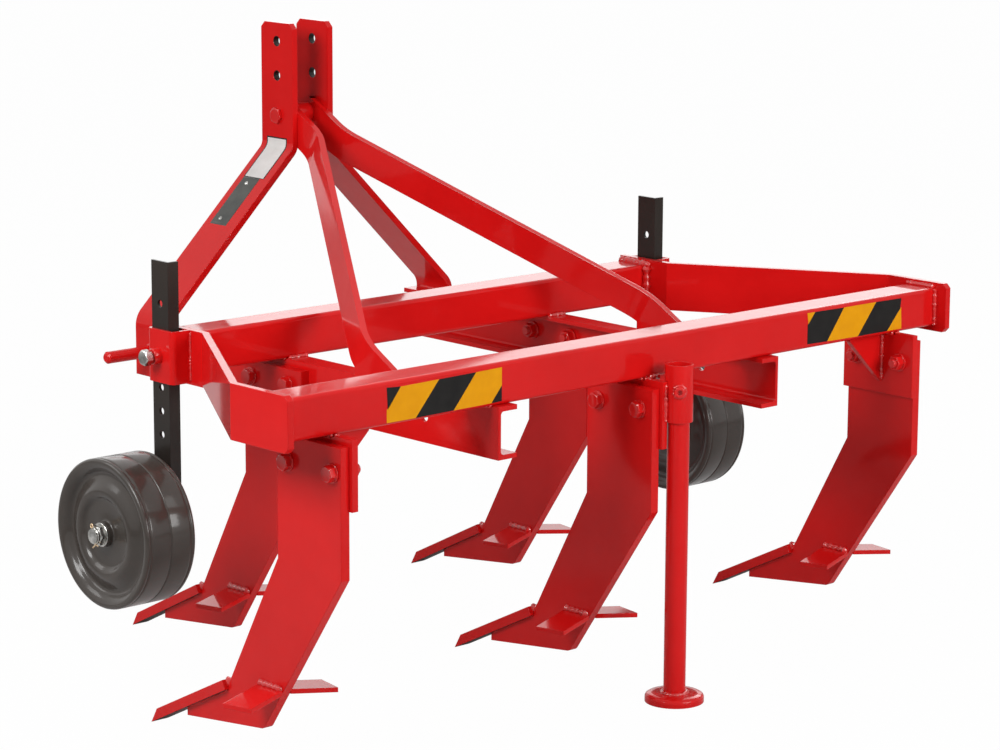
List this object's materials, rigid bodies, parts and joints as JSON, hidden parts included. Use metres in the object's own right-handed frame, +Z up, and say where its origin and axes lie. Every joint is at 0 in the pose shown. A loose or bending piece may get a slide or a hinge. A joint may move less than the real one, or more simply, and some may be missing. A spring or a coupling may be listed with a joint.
{
  "type": "subsoiler",
  "caption": "Mounted subsoiler: plate tines with chisel points and side wings under a welded tube frame, gauge wheels on sliding legs and a parking stand.",
  "frame": {"origin": "on the floor under the middle of the machine's box", "axes": "+X to the machine's right, +Y forward in the direction of travel, +Z up"},
  "size_m": [1.548, 1.0559, 1.094],
  "materials": {
    "red_paint": "glossy red enamel",
    "leg_paint": "satin black",
    "wheel_paint": "satin black",
    "axle_steel": "zinc plated"
  },
  "bodies": {
    "frame": {"brace_left": "red_paint", "brace_right": "red_paint", "channel_left": "red_paint", "channel_right": "red_paint", "front_beam": "red_paint", "holder_rear_centre": "red_paint", "holder_rear_left": "red_paint", "holder_rear_right": "red_paint", "leg_clamp_left": "red_paint", "leg_clamp_right": "red_paint", "lower_pin_left": "red_paint", "lower_pin_right": "red_paint", "mast_bar_left": "red_paint", "mast_bar_right": "red_paint", "mast_spacer": "red_paint", "point_front_left": "red_paint", "point_front_right": "red_paint", "point_rear_centre": "red_paint", "point_rear_left": "red_paint", "point_rear_right": "red_paint", "rear_beam": "red_paint", "side_plate_left": "red_paint", "side_plate_right": "red_paint", "stand_sleeve": "red_paint", "tine_front_left": "red_paint", "tine_front_right": "red_paint", "tine_rear_centre": "red_paint", "tine_rear_left": "red_paint", "tine_rear_right": "red_paint", "wing_front_left_inner": "red_paint", "wing_front_left_outer": "red_paint", "wing_front_right_inner": "red_paint", "wing_front_right_outer": "red_paint", "wing_rear_centre_inner": "red_paint", "wing_rear_centre_outer": "red_paint", "wing_rear_left_inner": "red_paint", "wing_rear_left_outer": "red_paint", "wing_rear_right_inner": "red_paint", "wing_rear_right_outer": "red_paint"},
    "left_leg": {"wheel_leg_left": "leg_paint", "axle_left": "axle_steel"},
    "right_leg": {"wheel_leg_right": "leg_paint", "axle_right": "axle_steel"},
    "left_wheel": {"wheel_left": "wheel_paint"},
    "right_wheel": {"wheel_right": "wheel_paint"},
    "stand": {"parking_stand": "red_paint"}
  },
  "joints": [
    {"name": "left_leg_slide", "type": "slide", "parent": "frame", "child": "left_leg", "axis": [0, 0, 1], "range_m": [-0.088, 0.136]},
    {"name": "right_leg_slide", "type": "slide", "parent": "frame", "child": "right_leg", "axis": [0, 0, 1], "range_m": [-0.088, 0.136]},
    {"name": "left_wheel_spin", "type": "hinge", "parent": "left_leg", "child": "left_wheel", "pos_m": [-0.6607, 0.1205, 0.307], "axis": [1, 0, 0], "continuous": true},
    {"name": "right_wheel_spin", "type": "hinge", "parent": "right_leg", "child": "right_wheel", "pos_m": [0.6607, 0.1205, 0.307], "axis": [1, 0, 0], "continuous": true},
    {"name": "stand_slide", "type": "slide", "parent": "frame", "child": "stand", "axis": [0, 0, 1], "range_m": [0, 0.25]}
  ]
}
